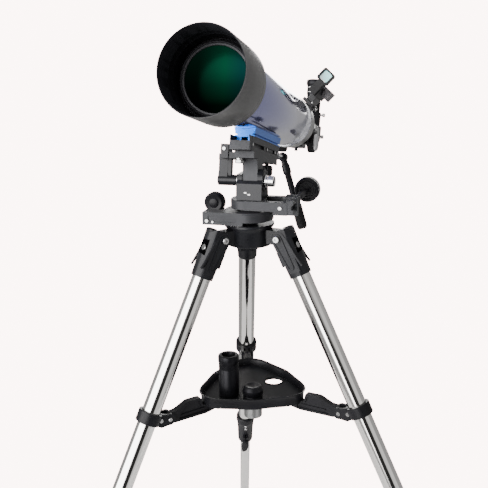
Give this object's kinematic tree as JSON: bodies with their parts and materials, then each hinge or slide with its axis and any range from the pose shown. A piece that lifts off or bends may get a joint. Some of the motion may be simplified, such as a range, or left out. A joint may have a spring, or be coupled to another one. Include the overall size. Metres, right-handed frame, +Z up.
{
  "type": "telescope on tripod",
  "caption": "Refracting telescope with star diagonal and red-dot finder on an alt-azimuth mount, standing on a folding steel tripod with an accessory tray.",
  "frame": {"origin": "on the floor, under the middle of the object", "axes": "+Z up; the tube points forward along -Y, turned 15.8 degrees towards +X at its rear"},
  "size_m": [0.8722, 0.834, 1.2086],
  "materials": {
    "black_casting": "black painted die casting",
    "chrome": "bright plated",
    "polished_steel": "polished stainless tube",
    "black_plastic": "moulded black plastic",
    "black_rubber": "ribbed black rubber",
    "grey_casting": "dark grey hammered paint on a die casting",
    "blue_anodised": "bright blue anodised",
    "blue_paint": "deep metallic blue gloss lacquer",
    "satin_black": "satin black paint, matt black inside",
    "coated_glass": "green coated objective glass",
    "silver": "satin silver",
    "finder_window": "cyan coated finder window"
  },
  "bodies": {
    "tripod_head": {"hub_casting": "black_casting", "leg_pivot_bolt_rear": "chrome", "leg_pivot_bolt_left": "chrome", "leg_pivot_bolt_right": "chrome"},
    "leg_rear": {"leg_casting_rear": "black_casting", "upper_leg_tube_rear": "polished_steel", "leg_lock_rear": "black_plastic", "spreader_clamp_rear": "black_plastic"},
    "lower_leg_rear": {"lower_leg_tube_rear": "polished_steel", "foot_rear": "black_rubber"},
    "lever_rear": {"lock_lever_rear": "black_plastic"},
    "arm_rear": {"spreader_arm_rear": "black_plastic"},
    "leg_left": {"leg_casting_left": "black_casting", "upper_leg_tube_left": "polished_steel", "leg_lock_left": "black_plastic", "spreader_clamp_left": "black_plastic"},
    "lower_leg_left": {"lower_leg_tube_left": "polished_steel", "foot_left": "black_rubber"},
    "lever_left": {"lock_lever_left": "black_plastic"},
    "arm_left": {"spreader_arm_left": "black_plastic"},
    "leg_right": {"leg_casting_right": "black_casting", "upper_leg_tube_right": "polished_steel", "leg_lock_right": "black_plastic", "spreader_clamp_right": "black_plastic"},
    "lower_leg_right": {"lower_leg_tube_right": "polished_steel", "foot_right": "black_rubber"},
    "lever_right": {"lock_lever_right": "black_plastic"},
    "arm_right": {"spreader_arm_right": "black_plastic"},
    "tray": {"accessory_tray": "black_plastic"},
    "barlow": {"barlow_lens": "black_plastic"},
    "spare": {"spare_eyepiece": "black_plastic"},
    "base": {"azimuth_base": "grey_casting"},
    "azimuth_clamp": {"azimuth_lock_knob": "black_plastic"},
    "yoke": {"turntable": "grey_casting", "column_fork": "black_casting"},
    "slow_motion": {"slow_motion_screw": "chrome", "slow_motion_knob": "black_plastic"},
    "altitude_clamp": {"altitude_lock_knob": "chrome"},
    "cradle": {"tilt_head": "grey_casting", "altitude_arm": "grey_casting", "saddle_bolt": "chrome", "saddle_block": "grey_casting"},
    "saddle_clamp": {"saddle_knob": "black_plastic"},
    "pan_handle": {"handle_shaft": "chrome", "handle_rod": "black_plastic", "handle_grip": "black_rubber"},
    "tube": {"dovetail_bar": "blue_anodised", "main_tube": "blue_paint", "lens_cell": "satin_black", "objective_lens": "coated_glass", "rear_cell": "silver", "focuser_body": "black_plastic", "finder_bracket": "black_plastic", "finder_body": "black_plastic", "finder_glass": "finder_window"},
    "shield": {"dew_shield": "satin_black"},
    "focus_wheels": {"focus_knobs": "black_rubber"},
    "draw": {"drawtube": "silver"},
    "diagonal": {"star_diagonal": "black_plastic"},
    "ocular": {"eyepiece": "black_plastic"}
  },
  "joints": [
    {"name": "leg_fold_rear", "type": "hinge", "parent": "tripod_head", "child": "leg_rear", "pos_m": [-0.01461, -0.0785, 0.86406], "axis": [-0.9988, -0.048, 0], "range_deg": [0, 9]},
    {"name": "leg_fold_left", "type": "hinge", "parent": "tripod_head", "child": "leg_left", "pos_m": [-0.0622, -0.17089, 0.86406], "axis": [0.541, -0.841, 0], "range_deg": [0, 9.1]},
    {"name": "leg_fold_right", "type": "hinge", "parent": "tripod_head", "child": "leg_right", "pos_m": [0.04161, -0.1659, 0.86406], "axis": [0.4579, 0.889, 0], "range_deg": [0, 9.1]},
    {"name": "leg_extension_rear", "type": "slide", "parent": "leg_rear", "child": "lower_leg_rear", "axis": [-0.0208, 0.4336, -0.9008], "range_m": [-0.24, 0.11]},
    {"name": "leg_lever_rear", "type": "hinge", "parent": "leg_rear", "child": "lever_rear", "pos_m": [-0.02709, 0.18119, 0.29001], "axis": [0.0432, -0.8998, -0.4341], "range_deg": [0, 80]},
    {"name": "leg_extension_left", "type": "slide", "parent": "leg_left", "child": "lower_leg_left", "axis": [-0.3651, -0.2349, -0.9008], "range_m": [-0.24, 0.11]},
    {"name": "leg_lever_left", "type": "hinge", "parent": "leg_left", "child": "lever_left", "pos_m": [-0.28086, -0.31154, 0.29001], "axis": [0.7576, 0.4873, -0.4341], "range_deg": [0, 80]},
    {"name": "leg_extension_right", "type": "slide", "parent": "leg_right", "child": "lower_leg_right", "axis": [0.3859, -0.1988, -0.9008], "range_m": [-0.24, 0.11]},
    {"name": "leg_lever_right", "type": "hinge", "parent": "leg_right", "child": "lever_right", "pos_m": [0.27274, -0.28495, 0.29001], "axis": [-0.8009, 0.4125, -0.4341], "range_deg": [0, 80]},
    {"name": "tray_lift", "type": "slide", "parent": "tripod_head", "child": "tray", "axis": [0, 0, 1], "range_m": [0, 0.0688]},
    {"name": "spreader_rear", "type": "hinge", "parent": "tray", "child": "arm_rear", "pos_m": [-0.01538, -0.06252, 0.56806], "axis": [-0.9988, -0.048, 0], "range_deg": [0, 60.6]},
    {"name": "spreader_left", "type": "hinge", "parent": "tray", "child": "arm_left", "pos_m": [-0.07565, -0.17954, 0.56806], "axis": [0.541, -0.841, 0], "range_deg": [0, 60.6]},
    {"name": "spreader_right", "type": "hinge", "parent": "tray", "child": "arm_right", "pos_m": [0.05583, -0.17323, 0.56806], "axis": [0.4579, 0.889, 0], "range_deg": [0, 60.6]},
    {"name": "barlow_lift", "type": "slide", "parent": "tray", "child": "barlow", "axis": [0, 0, 1], "range_m": [0, 0.05]},
    {"name": "spare_lift", "type": "slide", "parent": "tray", "child": "spare", "axis": [0, 0, 1], "range_m": [0, 0.05]},
    {"name": "azimuth", "type": "hinge", "parent": "tripod_head", "child": "base", "pos_m": [-0.01173, -0.13843, 0.86406], "axis": [0, 0, 1], "continuous": true},
    {"name": "azimuth_lock", "type": "hinge", "parent": "base", "child": "azimuth_clamp", "pos_m": [-0.07206, -0.07841, 0.90796], "axis": [0.2726, 0.9621, 0], "range_deg": [0, 270]},
    {"name": "azimuth_slow", "type": "hinge", "parent": "base", "child": "yoke", "pos_m": [-0.01173, -0.13843, 0.86406], "axis": [0, 0, 1], "range_deg": [-4, 4]},
    {"name": "slow_knob", "type": "hinge", "parent": "yoke", "child": "slow_motion", "pos_m": [0.06976, -0.12961, 0.92106], "axis": [0.2726, 0.9621, 0], "range_deg": [-1535, 1535]},
    {"name": "altitude_lock", "type": "hinge", "parent": "yoke", "child": "altitude_clamp", "pos_m": [-0.01173, -0.13843, 0.95606], "axis": [0.9621, -0.2726, 0], "range_deg": [0, 180]},
    {"name": "altitude", "type": "hinge", "parent": "yoke", "child": "cradle", "pos_m": [-0.01173, -0.13843, 0.95606], "axis": [-0.9621, 0.2726, 0], "range_deg": [-20, 35]},
    {"name": "saddle_lock", "type": "hinge", "parent": "cradle", "child": "saddle_clamp", "pos_m": [0.02168, -0.04252, 0.96876], "axis": [0.0608, 0.2146, 0.9748], "range_deg": [0, 270]},
    {"name": "pan_twist", "type": "hinge", "parent": "cradle", "child": "pan_handle", "pos_m": [0.03829, 0.00144, 0.98061], "axis": [-0.2657, -0.9379, 0.2231], "range_deg": [-15, 60]},
    {"name": "dovetail_slide", "type": "slide", "parent": "cradle", "child": "tube", "axis": [-0.2657, -0.9379, 0.2231], "range_m": [-0.03, 0.03]},
    {"name": "shield_slide", "type": "slide", "parent": "tube", "child": "shield", "axis": [0.2657, 0.9379, -0.2231], "range_m": [0, 0.09]},
    {"name": "focus", "type": "slide", "parent": "tube", "child": "draw", "axis": [0.2657, 0.9379, -0.2231], "range_m": [-0.048, 0.04]},
    {"name": "focus_wheel", "type": "hinge", "parent": "tube", "child": "focus_wheels", "pos_m": [0.09398, 0.23464, 0.97237], "axis": [0.9621, -0.2726, 0], "range_deg": [-385, 320]},
    {"name": "diagonal_turn", "type": "hinge", "parent": "draw", "child": "diagonal", "pos_m": [0.1331, 0.37271, 0.97184], "axis": [0.2657, 0.9379, -0.2231], "range_deg": [-90, 90]},
    {"name": "eyepiece_lift", "type": "slide", "parent": "diagonal", "child": "ocular", "axis": [0.1027, 0.2025, 0.9739], "range_m": [0, 0.04]}
  ],
  "couplings": [
    {"joint": "leg_fold_left", "follows": "leg_fold_rear", "ratio": 1},
    {"joint": "leg_fold_right", "follows": "leg_fold_rear", "ratio": 1},
    {"joint": "tray_lift", "follows": "leg_fold_rear", "m_per_rad": 0.4367},
    {"joint": "spreader_rear", "follows": "leg_fold_rear", "ratio": 6.711},
    {"joint": "spreader_left", "follows": "leg_fold_rear", "ratio": 6.711},
    {"joint": "spreader_right", "follows": "leg_fold_rear", "ratio": 6.711},
    {"joint": "slow_knob", "follows": "azimuth_slow", "ratio": 382},
    {"joint": "focus_wheel", "follows": "focus", "rad_per_m": 138.9}
  ]
}
